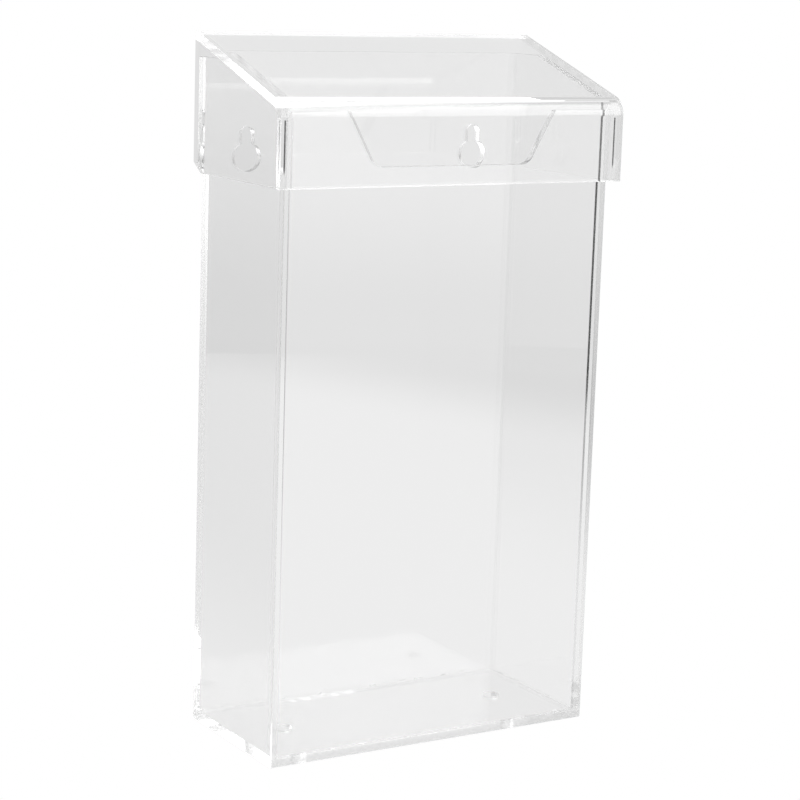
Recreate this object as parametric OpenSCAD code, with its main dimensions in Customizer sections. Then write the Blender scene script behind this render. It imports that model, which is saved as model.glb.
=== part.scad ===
// Wall-hung outdoor dispenser in clear acrylic sheet: an open-topped box with a
// thumb notch and two keyholes, and a loose hood that drops over its top.
// Origin at the centre of the footprint, on the underside. Front faces -Y.

/* [Sheet] */
// Thickness of every sheet
sheet_t = 3; // [2:0.5:4]

/* [Box] */
// Width outside
box_w = 130; // [110:1:200]
// Depth outside, front panel to back panel
box_d = 61; // [50:1:110]
// Height of the back panel's top edge
back_h = 240; // [180:1:360]
// Depth of the level part of the side panels' tops, from the back
level_d = 18; // [8:1:24]

/* [Thumb notch] */
// Width of the notch at the front panel's top edge
notch_w = 82; // [50:1:90]
// Depth of the notch below the front panel's top edge
notch_depth = 18.4; // [12:0.2:30]
// Slant of the notch's sides from upright
notch_slant = 29; // [5:1:35]
// Radius in the notch's lower corners
notch_r = 5; // [2:0.5:8]

/* [Keyholes] */
// Distance between the two keyholes
key_spacing = 90; // [60:1:95]
// Diameter of the round entry for the screw's head
key_head_d = 10.5; // [8:0.5:13]
// Width of the slot for the screw's shank
key_slot_w = 5; // [3.5:0.5:6]
// Height of the slot's round end above the entry's centre
key_rise = 8.2; // [7:0.1:10]
// Distance from the back panel's top edge down to the entry's centre
key_below_top = 35; // [28:1:60]

/* [Drain holes] */
// Diameter of the holes in the base
drain_d = 6; // [3:0.5:8]
// Distance between the two holes
drain_spacing = 89; // [40:1:95]

/* [Hood] */
// Slope of the hood, down towards the front
hood_slope = 18; // [8:1:24]
// How far the hood reaches below the back panel's top edge
hood_cover = 40; // [34:1:60]
// Inside radius of the line bend at the hood's front
bend_r = 4; // [3:0.5:6]
// Running gap between the hood's cheeks and the box's sides
side_gap = 0.7; // [0.5:0.1:1.5]
// Running gap between the hood's skirt and the front panel
front_gap = 0.7; // [0.5:0.1:1.5]
// Gap under the hood where it rests on the box
rest_gap = 0.3; // [0.2:0.05:0.45]
// How far the hood's rear edge stays in front of the box's back face
rear_inset = 0.5; // [0.2:0.1:2]
// Length along the bottom edge of the cheeks' cut rear corners
corner_cut_d = 5.5; // [2:0.5:9]
// Height of the cheeks' cut rear corners
corner_cut_h = 3.5; // [2:0.5:8]
// Extra radius on the cheeks' front corner, which leaves room for cement
cement_gap = 0.3; // [0.1:0.1:0.6]

/* [Hidden] */
$fn = 64;
over = 1;                                            // cutters run past the faces they cut

back_y = (box_d + front_gap + sheet_t) / 2;          // the box's back face
front_y = back_y - box_d;                            // the front panel's outer face
cheek_in = box_w / 2 + side_gap;                     // the cheeks' inner faces
hood_w = 2 * (cheek_in + sheet_t);
skirt_in = front_y - front_gap;                      // the skirt's inner face
hood_rear = back_y - rear_inset;
hood_bottom = back_h - hood_cover;
level_y = back_y - level_d;                          // where the side tops start to slope

// Height of the side panels' sloped tops, which run on as one plane
function slope_z(y) = back_h + (y - level_y) * tan(hood_slope);
// Height of a plane the given distance above that slope, measured square to it
function above_slope(y, rise) = slope_z(y) + rise / cos(hood_slope);

bend_y = skirt_in + bend_r;                          // axis of the line bend
bend_z = above_slope(bend_y, rest_gap - bend_r);
// The front panel's outer top edge stays one rest gap inside the bend
front_top = bend_z + sqrt(pow(bend_r - rest_gap, 2) - pow(bend_y - front_y, 2));

// Upright sheet across the box, drawn as X by Z, with its rear face at y_rear
module sheet_across(y_rear) {
    translate([0, y_rear, 0]) rotate([90, 0, 0]) linear_extrude(sheet_t) children();
}

// Upright sheet along the box, drawn as Y by Z, with its left face at x_left
module sheet_along(x_left) {
    translate([x_left, 0, 0]) rotate([90, 0, 90]) linear_extrude(sheet_t) children();
}

module wall_outline(width, top) {
    translate([-width / 2, sheet_t]) square([width, top - sheet_t]);
}

module keyhole_outline() {
    head_z = back_h - key_below_top;
    translate([0, head_z]) circle(d = key_head_d);
    translate([0, head_z + key_rise]) circle(d = key_slot_w);
    translate([-key_slot_w / 2, head_z]) square([key_slot_w, key_rise]);
}

// Shallow trapezoid with round lower corners, open at the panel's top edge
module notch_outline() {
    low = front_top - notch_depth;
    side_x = notch_w / 2 - (notch_depth - notch_r) * tan(notch_slant);
    corner_x = side_x - notch_r / cos(notch_slant);
    touch_x = corner_x + notch_r * cos(notch_slant);
    touch_z = low + notch_r * (1 - sin(notch_slant));
    top_x = notch_w / 2 + over * tan(notch_slant);
    polygon([
        [-corner_x, low], [corner_x, low], [touch_x, touch_z], [top_x, front_top + over],
        [-top_x, front_top + over], [-touch_x, touch_z]
    ]);
    for (side = [-1, 1]) translate([side * corner_x, low + notch_r]) circle(r = notch_r);
}

module side_outline() {
    inner_rear = back_y - sheet_t;
    inner_front = front_y + sheet_t;
    polygon([
        [inner_front, sheet_t], [inner_rear, sheet_t], [inner_rear, back_h],
        [level_y, back_h], [inner_front, slope_z(inner_front)]
    ]);
}

// Section, as Y by Z, of all that lies behind the skirt and below the slope, out past
// the back and up from low. A rise above 0 moves both faces out by that much.
module under_hood(rise, corner_r, low) {
    front = skirt_in - rise;
    rear = hood_rear + sheet_t;
    corner = [front + corner_r, above_slope(front + corner_r, rest_gap + rise - corner_r)];
    polygon([
        [front, low], [rear, low], [rear, above_slope(rear, rest_gap + rise)],
        corner + corner_r * [-sin(hood_slope), cos(hood_slope)], [front, corner[1]]
    ]);
    translate(corner) circle(r = corner_r);
}

// The hood's one bent sheet, its rear end cut square to the slope
module lid_outline() {
    difference() {
        under_hood(sheet_t, bend_r + sheet_t, hood_bottom);
        under_hood(0, bend_r, hood_bottom - over);
        translate([hood_rear, above_slope(hood_rear, rest_gap)]) rotate(hood_slope)
            translate([0, -sheet_t]) square([3 * sheet_t, 3 * sheet_t]);
    }
}

// A cheek fills the section under the bent sheet, with its rear lower corner cut
module cheek_outline() {
    difference() {
        under_hood(0, bend_r + cement_gap, hood_bottom);
        translate([hood_rear, hood_bottom - over]) square([box_d, back_h]);
        polygon([
            [hood_rear - corner_cut_d, hood_bottom], [hood_rear, hood_bottom + corner_cut_h],
            [hood_rear + over, hood_bottom + corner_cut_h],
            [hood_rear + over, hood_bottom - over], [hood_rear - corner_cut_d, hood_bottom - over]
        ]);
    }
}

module base_plate() {
    color([0.92, 0.93, 0.94, 0.5]) difference() {
        translate([-box_w / 2, front_y, 0]) cube([box_w, box_d, sheet_t]);
        for (side = [-1, 1])
            translate([side * drain_spacing / 2, back_y - box_d / 2, -over])
                cylinder(d = drain_d, h = sheet_t + 2 * over);
    }
}

module back_panel() {
    color([0.90, 0.92, 0.93, 0.5]) sheet_across(back_y) difference() {
        wall_outline(box_w, back_h);
        for (side = [-1, 1]) translate([side * key_spacing / 2, 0]) keyhole_outline();
    }
}

module front_panel() {
    color([0.91, 0.92, 0.93, 0.5]) sheet_across(front_y + sheet_t) difference() {
        wall_outline(box_w, front_top);
        notch_outline();
    }
}

module left_side_panel() {
    color([0.88, 0.90, 0.91, 0.5]) sheet_along(-box_w / 2) side_outline();
}

module right_side_panel() {
    color([0.88, 0.90, 0.91, 0.5]) sheet_along(box_w / 2 - sheet_t) side_outline();
}

module lid_top() {
    color([0.95, 0.96, 0.97, 0.5])
        translate([-hood_w / 2, 0, 0]) rotate([90, 0, 90]) linear_extrude(hood_w) lid_outline();
}

module lid_left_cheek() {
    color([0.86, 0.88, 0.89, 0.5]) sheet_along(-hood_w / 2) cheek_outline();
}

module lid_right_cheek() {
    color([0.86, 0.88, 0.89, 0.5]) sheet_along(cheek_in) cheek_outline();
}

base_plate();
back_panel();
front_panel();
left_side_panel();
right_side_panel();
lid_top();
lid_left_cheek();
lid_right_cheek();
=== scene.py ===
import math
import bmesh
import bpy
from mathutils import Matrix, Vector
from mathutils.geometry import tessellate_polygon


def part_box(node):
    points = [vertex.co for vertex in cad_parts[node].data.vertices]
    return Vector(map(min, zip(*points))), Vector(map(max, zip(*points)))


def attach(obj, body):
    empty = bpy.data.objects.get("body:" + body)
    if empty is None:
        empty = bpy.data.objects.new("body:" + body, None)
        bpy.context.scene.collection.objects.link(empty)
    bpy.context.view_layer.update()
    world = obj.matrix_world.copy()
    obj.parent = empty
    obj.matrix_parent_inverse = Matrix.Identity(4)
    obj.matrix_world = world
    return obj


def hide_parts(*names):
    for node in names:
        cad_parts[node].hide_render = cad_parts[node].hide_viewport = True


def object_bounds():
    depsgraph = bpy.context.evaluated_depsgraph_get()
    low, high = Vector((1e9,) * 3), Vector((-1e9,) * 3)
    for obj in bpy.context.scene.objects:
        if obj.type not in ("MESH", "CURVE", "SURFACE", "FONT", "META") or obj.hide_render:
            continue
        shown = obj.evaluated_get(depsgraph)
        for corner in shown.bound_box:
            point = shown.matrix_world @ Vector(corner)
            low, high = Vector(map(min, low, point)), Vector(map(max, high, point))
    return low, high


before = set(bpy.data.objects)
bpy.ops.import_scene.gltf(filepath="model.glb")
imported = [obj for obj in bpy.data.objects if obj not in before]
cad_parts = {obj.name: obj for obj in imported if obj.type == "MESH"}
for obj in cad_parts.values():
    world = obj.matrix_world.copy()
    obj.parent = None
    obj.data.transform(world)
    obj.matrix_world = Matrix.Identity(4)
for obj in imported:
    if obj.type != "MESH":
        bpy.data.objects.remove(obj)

cad_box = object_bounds()


# ---- Studio: table, surround, overhead light and camera -----------------------------
# A small white light table in a studio. The surround is pale all round, with one dim gap
# between the screens. Clear sheet shows only what lies behind and beside it.

scene = bpy.context.scene
mm = 0.001


class Socket:
    """A shader value that can be written in sums. Numbers mix with it freely."""

    def __init__(self, tree, out):
        self.tree = tree
        self.out = out

    def node(self, kind, settings=None, **values):
        made = self.tree.nodes.new(kind)
        for name, value in (settings or {}).items():
            setattr(made, name, value)
        for name, value in values.items():
            key = int(name[1:]) if name[0] == "_" else name.replace("_", " ")
            if isinstance(value, Socket):
                self.tree.links.new(value.out, made.inputs[key])
            else:
                made.inputs[key].default_value = value
        return made

    def first(self, kind, settings=None, **values):
        return Socket(self.tree, self.node(kind, settings, **values).outputs[0])

    def math(self, operation, a, b=0.0):
        return self.first("ShaderNodeMath", {"operation": operation}, _0=a, _1=b)

    def parts(self):
        split = self.node("ShaderNodeSeparateXYZ", Vector=self)
        return [Socket(self.tree, out) for out in split.outputs]

    def step(self, low, high):
        """0 below low, 1 above high, and a smooth way between."""
        settings = {"interpolation_type": "SMOOTHSTEP"}
        return self.first("ShaderNodeMapRange", settings, Value=self, From_Min=low, From_Max=high)

    def size(self):
        return self.math("ABSOLUTE", self)

    def __add__(self, other):
        return self.math("ADD", self, other)

    def __sub__(self, other):
        return self.math("SUBTRACT", self, other)

    def __mul__(self, other):
        return self.math("MULTIPLY", self, other)

    def __gt__(self, other):
        return self.math("GREATER_THAN", self, other)

    def __lt__(self, other):
        return self.math("LESS_THAN", self, other)

    def __or__(self, other):
        return self.math("MAXIMUM", self, other)

    def __rsub__(self, other):
        return self.math("SUBTRACT", other, self)

    __radd__ = __add__
    __rmul__ = __mul__


table_r = 0.80
table_drop = 0.4 * mm            # keeps the paper clear of the base
table_glow = 0.87
painted_shade_left_glow = 0.45                 # painted shade: the table's left glows dimmer, as if away from its lamps
rim_glow = 0.75                  # its far right, where it fades into the screen

bpy.ops.mesh.primitive_circle_add(vertices=96, radius=table_r, fill_type="NGON")
table = bpy.context.object
table.name = "light_table"
table.location = (0, 0, -table_drop)
paper = bpy.data.materials.new("light_table_white")
paper.use_nodes = True
paper_tree = paper.node_tree
glow = paper_tree.nodes["Principled BSDF"]
glow.inputs["Base Color"].default_value = (0.0, 0.0, 0.0, 1)
glow.inputs["Roughness"].default_value = 1.0
glow.inputs["Specular IOR Level"].default_value = 0.0
glow.inputs["Emission Color"].default_value = (1, 1, 1, 1)
paper_path = paper_tree.nodes.new("ShaderNodeLightPath")
paper_seen = Socket(paper_tree, paper_path.outputs["Is Camera Ray"])
paper_at = Socket(paper_tree, paper_tree.nodes.new("ShaderNodeTexCoord").outputs["Object"])
paper_x, paper_y, _ = paper_at.parts()
# painted shade: the table's glow drops towards its left
table_glow_with_painted_shade = painted_shade_left_glow + (table_glow - painted_shade_left_glow) * paper_x.step(-0.22, -0.02)
fade = (paper_x * 0.94 + paper_y * 0.34).step(0.44, 0.62)
table_glow_with_painted_shade = table_glow_with_painted_shade * (1 - fade) + rim_glow * fade
paper_light = table_glow_with_painted_shade * (1 - paper_seen) + paper_seen
paper_tree.links.new(paper_light.out, glow.inputs["Emission Strength"])
table.data.materials.append(paper)

screen_glow = 0.75               # the paper screen behind
side_glow = 0.68
room_glow = 0.55                 # the room left of the camera and behind it
front_low_glow = 0.95            # the big front softbox, from its lower edge up
front_mid_glow = 1.4
front_high_glow = 3.0
gap_low_glow = 0.42              # the gap between the screens, back left
gap_high_glow = 0.75
ceiling_glow = 0.92
zenith_glow = 0.55

world = bpy.data.worlds.new("studio")
world.use_nodes = True
scene.world = world
sky_tree = world.node_tree
sky = Socket(sky_tree, None)
direction = Socket(sky_tree, sky.node("ShaderNodeTexCoord").outputs["Generated"])
dx, dy, dz = direction.parts()
flat = sky.math("SQRT", dx * dx + dy * dy) + 0.0001


def facing(turn, half_width, edge):
    """1 within half_width of a heading, which is turned from +Y towards +X."""
    heading, reach, fade = math.radians(turn), math.radians(half_width), math.radians(edge)
    cosine = sky.math("DIVIDE", dx * math.sin(heading) + dy * math.cos(heading), flat)
    return cosine.step(math.cos(reach + fade), math.cos(reach - fade))


front_turn = 149                 # the front softbox's heading
front_low = facing(front_turn, 14, 6)
front_high = facing(front_turn, 38, 10) * dz.step(-0.05, 0.0)
softbox = front_low_glow + (front_mid_glow - front_low_glow) * dz.step(-0.15, -0.09)
softbox = softbox + (front_high_glow - front_mid_glow) * dz.step(-0.05, 0.12)
overhang = dz.step(0.33, 0.50)   # where the ceiling takes over from the screens
surround = side_glow + (screen_glow - side_glow) * facing(40, 52, 8)
surround = surround + (room_glow - side_glow) * facing(-105, 30, 6)
gap_glow = gap_low_glow + (gap_high_glow - gap_low_glow) * dz.step(-0.15, -0.05)
gap = facing(-23, 7, 6)
surround = surround * (1 - gap) + gap_glow * gap
surround = surround * (1 - overhang) + ceiling_glow * overhang
in_front = front_low | front_high
surround = surround * (1 - in_front) + softbox * in_front
surround = surround + (zenith_glow - ceiling_glow) * dz.step(0.80, 0.88)
path = sky.node("ShaderNodeLightPath")
seen_direct = Socket(sky_tree, path.outputs["Is Camera Ray"])
strength = surround * (1 - seen_direct) + seen_direct
background = sky_tree.nodes["Background"]
background.inputs["Color"].default_value = (1, 1, 1, 1)
sky_tree.links.new(strength.out, background.inputs["Strength"])

overhead = bpy.data.objects.new("overhead_softbox", bpy.data.lights.new("softbox", "AREA"))
overhead.data.shape = "RECTANGLE"
overhead.data.size = 0.7
overhead.data.size_y = 0.5
overhead.data.energy = 0.5
overhead.location = (0.1, -0.25, 1.3)
overhead.rotation_euler = (Vector((0, 0, 0.15)) - overhead.location).to_track_quat("-Z", "Y").to_euler()
overhead.visible_camera = False
scene.collection.objects.link(overhead)

centre = (cad_box[0] + cad_box[1]) / 2
aim = centre + Vector((3.4, 6.35, -6.2)) * mm
turn = math.radians(-31.3466)
rise = math.radians(10.7104)
roll = math.radians(1.888)
reach = 0.8483
away = Vector((math.sin(turn) * math.cos(rise), -math.cos(turn) * math.cos(rise), math.sin(rise)))
camera = bpy.data.objects.new("camera", bpy.data.cameras.new("camera"))
camera.data.lens = 105.23
camera.data.sensor_width = 36
upright = (-away).to_track_quat("-Z", "Y").to_matrix().to_4x4()
camera.matrix_world = Matrix.Translation(aim + away * reach) @ upright @ Matrix.Rotation(roll, 4, "Z")
scene.collection.objects.link(camera)
scene.camera = camera

# Light runs along inside a sheet by many reflections before it leaves at a cut edge.
light_bounces = 128
scene.view_settings.view_transform = "Standard"
scene.cycles.max_bounces = light_bounces
scene.cycles.transmission_bounces = light_bounces
scene.cycles.glossy_bounces = light_bounces
scene.cycles.transparent_max_bounces = 64


# ---- Clear acrylic sheet -------------------------------------------------------------
# Every piece is cut from 3 mm cast acrylic. The faces keep the casting's gloss. The cut
# edges are scraped and polished, which leaves a softer gloss, a faint ripple and a
# rounded arris.

sheet_t = 3 * mm
arris = 0.1 * mm
arris_steps = 3
joint_play = 0.012 * mm          # the cement film between two sheets
soft_turn = math.radians(38)     # a sharper turn than this shows as an edge
longest_facet = 2 * mm           # a longer side than this is flat

ripple = 0.0015 * mm
cast_face = {"waves": 22.0, "polish": 0.004}
cut_edge = {"waves": 60.0, "polish": 0.2}


def rounded(corners):
    """Outline points from corners given as (u, v) or (u, v, radius)."""
    points = []
    count = len(corners)
    for i, corner in enumerate(corners):
        here = Vector(corner[:2])
        radius = corner[2] if len(corner) > 2 else 0
        if not radius:
            points.append(here)
            continue
        to_last = (Vector(corners[i - 1][:2]) - here).normalized()
        to_next = (Vector(corners[(i + 1) % count][:2]) - here).normalized()
        half = to_last.angle(to_next) / 2
        heart = here + (to_last + to_next).normalized() * (radius / math.sin(half))
        start = here + to_last * (radius / math.tan(half)) - heart
        sweep = start.angle_signed(here + to_next * (radius / math.tan(half)) - heart)
        per_radian = 30 if radius > mm else 4
        steps = max(4, round(abs(sweep) * per_radian))
        for k in range(steps + 1):
            a = -sweep * k / steps
            turned = Vector((start.x * math.cos(a) - start.y * math.sin(a),
                             start.x * math.sin(a) + start.y * math.cos(a)))
            points.append(heart + turned)
    return points


def circle(u, v, radius, steps=48):
    """A round hole's outline, wound the other way from a sheet's."""
    turns = [-2 * math.pi * k / steps for k in range(steps)]
    return [Vector((u + radius * math.cos(a), v + radius * math.sin(a))) for a in turns]


def inset(loop, depth):
    """The loop moved into the sheet by depth; the sheet lies on its left."""
    moved = []
    for i, here in enumerate(loop):
        before = (here - loop[i - 1]).normalized()
        after = (loop[(i + 1) % len(loop)] - here).normalized()
        left_before = Vector((-before.y, before.x))
        left_after = Vector((-after.y, after.x))
        middle = (left_before + left_after).normalized()
        moved.append(here + middle * (depth / max(0.3, middle.dot(left_after))))
    return moved


def cut_sheet(name, loops, low, high, place, faces, edges):
    """A flat piece: outline and holes cut square through, with every arris rounded.
    place turns (u, v, w) into a point, with w from low to high through the sheet."""
    mesh = bmesh.new()
    turns = [k * math.pi / 2 / arris_steps for k in range(arris_steps + 1)]
    rims = [(arris * (1 - math.sin(t)), low + arris * (1 - math.cos(t))) for t in turns]
    rims += [(depth, low + high - w) for depth, w in reversed(rims)]
    bottom, top = [], []
    for loop in loops:
        rings = []
        for depth, w in rims:
            ring = [mesh.verts.new(place(p.x, p.y, w)) for p in inset(loop, depth)]
            rings.append(ring)
        for ring, upper in zip(rings, rings[1:]):
            for i in range(len(ring)):
                side = mesh.faces.new((ring[i - 1], ring[i], upper[i], upper[i - 1]))
                side.smooth = (ring[i - 1].co - ring[i].co).length < longest_facet
                side.material_index = 1
        bottom += rings[0]
        top += rings[-1]
    flats = [[p.to_3d() for p in inset(loop, arris)] for loop in loops]
    for triangle in tessellate_polygon(flats):
        mesh.faces.new([top[i] for i in triangle])
        mesh.faces.new([bottom[i] for i in triangle])
    bmesh.ops.recalc_face_normals(mesh, faces=mesh.faces)
    for edge in mesh.edges:
        rounds = all(face.smooth for face in edge.link_faces)
        edge.smooth = rounds and edge.calc_face_angle() < soft_turn
    data = bpy.data.meshes.new(name)
    mesh.to_mesh(data)
    mesh.free()
    data.materials.append(faces)
    data.materials.append(edges)
    piece = bpy.data.objects.new(name, data)
    scene.collection.objects.link(piece)
    return piece


def acrylic(name, joint, painted_line, waves, polish):
    """Clear acrylic. joint(p, n) is 1 where cement has made two sheets one, and
    painted_line(p, n) is how dark a painted shade line lies along the joint's inner corner."""
    material = bpy.data.materials.new(name)
    material.use_nodes = True
    tree = material.node_tree
    at = Socket(tree, None)
    where = Socket(tree, at.node("ShaderNodeTexCoord").outputs["Object"])
    normal = Socket(tree, at.node("ShaderNodeTexCoord").outputs["Normal"])
    settings = {"noise_dimensions": "3D"}
    smears = at.first("ShaderNodeTexNoise", settings, Vector=where, Scale=45.0, Detail=3.0)
    swell = at.first("ShaderNodeTexNoise", settings, Vector=where, Scale=waves, Detail=2.0)
    bump = at.first("ShaderNodeBump", Height=swell, Strength=1.0, Distance=ripple)
    glass = tree.nodes["Principled BSDF"]
    glass.inputs["Base Color"].default_value = (0.988, 0.988, 0.988, 1)
    glass.inputs["IOR"].default_value = 1.49
    glass.inputs["Transmission Weight"].default_value = 1.0
    rough = polish + 0.02 * smears.step(0.52, 0.75)
    tree.links.new(rough.out, glass.inputs["Roughness"])
    tree.links.new(bump.out, glass.inputs["Normal"])
    through = at.first("ShaderNodeBsdfTransparent", Color=(1, 1, 1, 1))
    clear = Socket(tree, glass.outputs[0])
    whole = at.first("ShaderNodeMixShader", _0=joint(where, normal), _1=clear, _2=through)
    # painted shade: a near-black shader laid as a dark line along the joint's inner corner
    painted_shade_bsdf = at.node("ShaderNodeBsdfPrincipled", Roughness=0.5)
    painted_shade_bsdf.inputs["Base Color"].default_value = (0.02, 0.02, 0.02, 1)
    painted_black = Socket(tree, painted_shade_bsdf.outputs[0])
    with_painted_shade = at.first("ShaderNodeMixShader", _0=painted_line(where, normal), _1=whole, _2=painted_black)
    tree.links.new(with_painted_shade.out, tree.nodes["Material Output"].inputs["Surface"])
    return material


# ---- The box's cemented joints -------------------------------------------------------
# The four walls stand on the base plate, and the side panels are held between the front
# and back panels. Solvent cement welds them; along the base it has missed some patches.
# A dark line of painted shade runs along the upper right joint.

front_lo, front_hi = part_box("front_panel")
back_lo, back_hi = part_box("back_panel")
base_lo, base_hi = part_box("base_plate")
left_lo, left_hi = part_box("left_side_panel")

near = 0.06 * mm                 # how close a point lies to the joint that it is on
shade_line_w = 0.9 * mm
shade_line_low = 112 * mm               # the painted shade line starts here and is in full from shade_line_high
shade_line_high = 132 * mm
shade_line_faint = 0.06
shade_line_dark = 0.80


def box_joint(p, n):
    x, y, z = p.parts()
    beside = x.size() > -left_hi.x - near
    on_front = ((y - front_hi.y).size() < near) * beside
    on_back = ((y - back_lo.y).size() < near) * beside
    ring = beside | (y < front_hi.y + near) | (y > back_lo.y - near)
    patches = p.first("ShaderNodeTexNoise", Vector=p, Scale=260.0, Detail=2.0)
    wetted = patches.step(0.36, 0.40)
    on_base = ((z - base_hi.z).size() < near) * ring * wetted
    return on_front | on_back | on_base


def faces_front(n):
    return n.parts()[1] < -0.9


# painted shade: a dark line on the front panel's joint face at its inner right corner, darker from
# shade_line_low up to shade_line_high
def box_painted_shade_line(p, n):
    x, y, z = p.parts()
    inner_corner = (x > -left_hi.x) * (x < -left_hi.x + shade_line_w)
    on_front = (y - front_hi.y).size() < near
    dark = shade_line_faint + (shade_line_dark - shade_line_faint) * z.step(shade_line_low, shade_line_high)
    return inner_corner * on_front * faces_front(n) * dark


box_faces = acrylic("acrylic_face", box_joint, box_painted_shade_line, **cast_face)
box_edges = acrylic("acrylic_edge", box_joint, box_painted_shade_line, **cut_edge)


# ---- Base plate ----------------------------------------------------------------------
# The bottom sheet of clear acrylic lies under all four walls, which are cemented to it.
# Two drilled drain holes let rain out.

corner_r = 0.2 * mm
drain_r = 3 * mm
drain_x = 44.5 * mm

middle_y = (base_lo.y + base_hi.y) / 2
plate = rounded([(base_lo.x, base_lo.y, corner_r), (base_hi.x, base_lo.y, corner_r),
                 (base_hi.x, base_hi.y, corner_r), (base_lo.x, base_hi.y, corner_r)])
base = cut_sheet("base_plate_sheet",
                 [plate, circle(-drain_x, middle_y, drain_r), circle(drain_x, middle_y, drain_r)],
                 base_lo.z, base_hi.z, lambda u, v, w: (u, v, w), box_faces, box_edges)
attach(base, "box")
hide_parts("base_plate")


# ---- Back panel ----------------------------------------------------------------------
# A clear sheet as wide as the box, with two keyholes cut through it that hang it on the
# wall. Each passes a screw's head below and holds its shank above.

keyhole_x = 45 * mm
entry_r = 5.25 * mm
entry_steps = 40
slot_r = 2.5 * mm
slot_steps = 20
entry_z = back_hi.z - 35 * mm
slot_z = entry_z + 8.2 * mm


def keyhole(x):
    """Round entry with a slot rising from it, wound the other way from a sheet's."""
    meet = math.asin(slot_r / entry_r)
    points = []
    for k in range(entry_steps + 1):
        a = math.pi / 2 - meet - (2 * math.pi - 2 * meet) * k / entry_steps
        points.append(Vector((x + entry_r * math.cos(a), entry_z + entry_r * math.sin(a))))
    for k in range(slot_steps + 1):
        a = math.pi - math.pi * k / slot_steps
        points.append(Vector((x + slot_r * math.cos(a), slot_z + slot_r * math.sin(a))))
    return points


def upright_across(u, v, w):
    return (u, w, v)


rear = rounded([(back_lo.x, back_lo.z + joint_play), (back_hi.x, back_lo.z + joint_play),
                (back_hi.x, back_hi.z, corner_r), (back_lo.x, back_hi.z, corner_r)])
back_piece = cut_sheet("back_panel_sheet", [rear, keyhole(-keyhole_x), keyhole(keyhole_x)],
                       back_lo.y, back_hi.y, upright_across, box_faces, box_edges)
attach(back_piece, "box")
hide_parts("back_panel")


# ---- Front panel ---------------------------------------------------------------------
# A clear sheet as wide as the box. A wide thumb notch is cut in its top edge, so that
# what stands in the box can be gripped and drawn out.

notch_half = 41 * mm
notch_depth = 18.4 * mm
notch_slant = math.radians(29)
notch_r = 5 * mm
lip_r = 0.6 * mm
notch_low = front_hi.z - notch_depth
notch_in = notch_half - notch_depth * math.tan(notch_slant)

front = rounded([(front_lo.x, front_lo.z + joint_play), (front_hi.x, front_lo.z + joint_play),
                 (front_hi.x, front_hi.z, corner_r), (notch_half, front_hi.z, lip_r),
                 (notch_in, notch_low, notch_r), (-notch_in, notch_low, notch_r),
                 (-notch_half, front_hi.z, lip_r), (front_lo.x, front_hi.z, corner_r)])
front_piece = cut_sheet("front_panel_sheet", [front], front_lo.y, front_hi.y,
                        upright_across, box_faces, box_edges)
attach(front_piece, "box")
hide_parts("front_panel")


# ---- Side panels ---------------------------------------------------------------------
# Two narrower clear sheets, cemented between the front and back panels. Their tops are
# level at the back and then sloped, and the hood lies along them.

slope = math.radians(18)
level_d = 15 * mm
level_y = left_hi.y - level_d


def upright_along(u, v, w):
    return (w, u, v)


for side in ("left", "right"):
    lo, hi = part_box(side + "_side_panel")
    drop = (level_y - lo.y) * math.tan(slope)
    outline = rounded([(lo.y + joint_play, lo.z + joint_play), (hi.y - joint_play, lo.z + joint_play),
                       (hi.y - joint_play, hi.z), (level_y, hi.z),
                       (lo.y + joint_play, hi.z - drop)])
    panel = cut_sheet(side + "_side_sheet", [outline], lo.x, hi.x, upright_along,
                      box_faces, box_edges)
    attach(panel, "box")
    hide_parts(side + "_side_panel")


# ---- Hood ----------------------------------------------------------------------------
# One sheet is line-bent into the slope and the skirt. A cheek is cemented under each end
# of it, so the sheet's ends show. A dark line of painted shade runs down each cheek's front joint.
# The hood is loose and lifts straight off.

hood_lo, hood_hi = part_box("lid_top")
cheek_lo, cheek_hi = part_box("lid_left_cheek")
bend_r = 4 * mm

cheek_shade_in = 0.3 * mm          # the painted shade line's near and far edge, from the cheek's inner face
cheek_shade_out = 0.9 * mm
cheek_shade_low = 204 * mm         # the painted shade line starts here and is in full from cheek_shade_high
cheek_shade_high = 207 * mm
cheek_shade_top = 222.5 * mm
cheek_shade_dark = 0.75


def hood_joint(p, n):
    """The underside of the slope and the back of the skirt, over each cheek."""
    _, ny, nz = n.parts()
    return (ny > 0.15) * (nz < 0.1) * (p.parts()[0].size() > -cheek_hi.x)


def cheek_joint(p, n):
    """The cheek's top and front edges."""
    return n.parts()[1] < -0.15


# painted shade: a dark line down each cheek's front joint face
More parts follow.
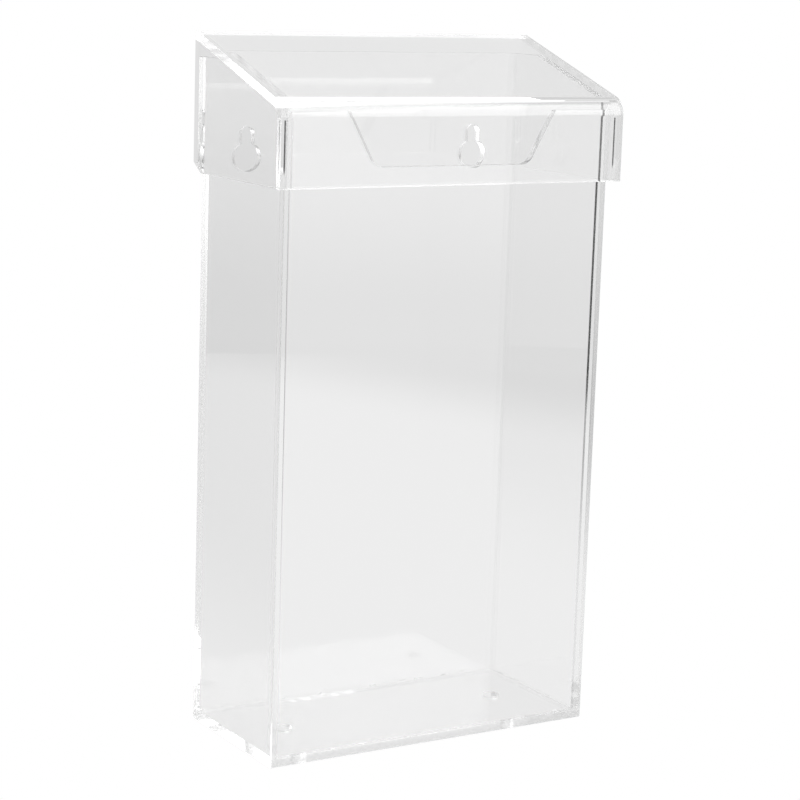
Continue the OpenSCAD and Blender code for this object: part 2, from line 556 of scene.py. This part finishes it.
def hood_painted_shade_line(p, n):
    x, y, z = p.parts()
    beyond = x.size() > -cheek_hi.x + cheek_shade_in
    inner_corner = beyond * (x.size() < -cheek_hi.x + cheek_shade_out)
    on_cheek = (y - cheek_lo.y).size() < near
    tall = z.step(cheek_shade_low, cheek_shade_high) * (z < cheek_shade_top)
    return inner_corner * on_cheek * faces_front(n) * tall * cheek_shade_dark


hood_faces = acrylic("hood_face", hood_joint, hood_painted_shade_line, **cast_face)
hood_edges = acrylic("hood_edge", hood_joint, hood_painted_shade_line, **cut_edge)
cheek_faces = acrylic("cheek_face", cheek_joint, hood_painted_shade_line, **cast_face)
cheek_edges = acrylic("cheek_edge", cheek_joint, hood_painted_shade_line, **cut_edge)

rear_top_y = hood_hi.y - sheet_t * math.sin(slope)
outer_front_z = hood_hi.z - (rear_top_y - hood_lo.y) * math.tan(slope)
inner_rear_z = hood_hi.z - sheet_t * math.cos(slope)
inner_front_y = hood_lo.y + sheet_t
inner_front_z = inner_rear_z - (hood_hi.y - inner_front_y) * math.tan(slope)

section = rounded([(hood_lo.y, hood_lo.z, corner_r), (inner_front_y, hood_lo.z, corner_r),
                   (inner_front_y, inner_front_z, bend_r), (hood_hi.y, inner_rear_z, corner_r),
                   (rear_top_y, hood_hi.z, corner_r),
                   (hood_lo.y, outer_front_z, bend_r + sheet_t)])
hood = cut_sheet("hood_sheet", [section], hood_lo.x, hood_hi.x, upright_along,
                 hood_edges, hood_faces)
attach(hood, "lid")
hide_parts("lid_top")

cut_d = 5.5 * mm
cut_h = 3.5 * mm
cut_r = 0.3 * mm
for side in ("left", "right"):
    lo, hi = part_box("lid_" + side + "_cheek")
    front_z = hi.z - (hi.y - lo.y) * math.tan(slope)
    outline = rounded([(lo.y + joint_play, lo.z, corner_r), (hi.y - cut_d, lo.z, cut_r),
                       (hi.y, lo.z + cut_h, cut_r), (hi.y, hi.z - joint_play),
                       (lo.y + joint_play, front_z - joint_play, bend_r)])
    cheek = cut_sheet(side + "_cheek_sheet", [outline], lo.x, hi.x, upright_along,
                      cheek_faces, cheek_edges)
    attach(cheek, "lid")
    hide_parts("lid_" + side + "_cheek")
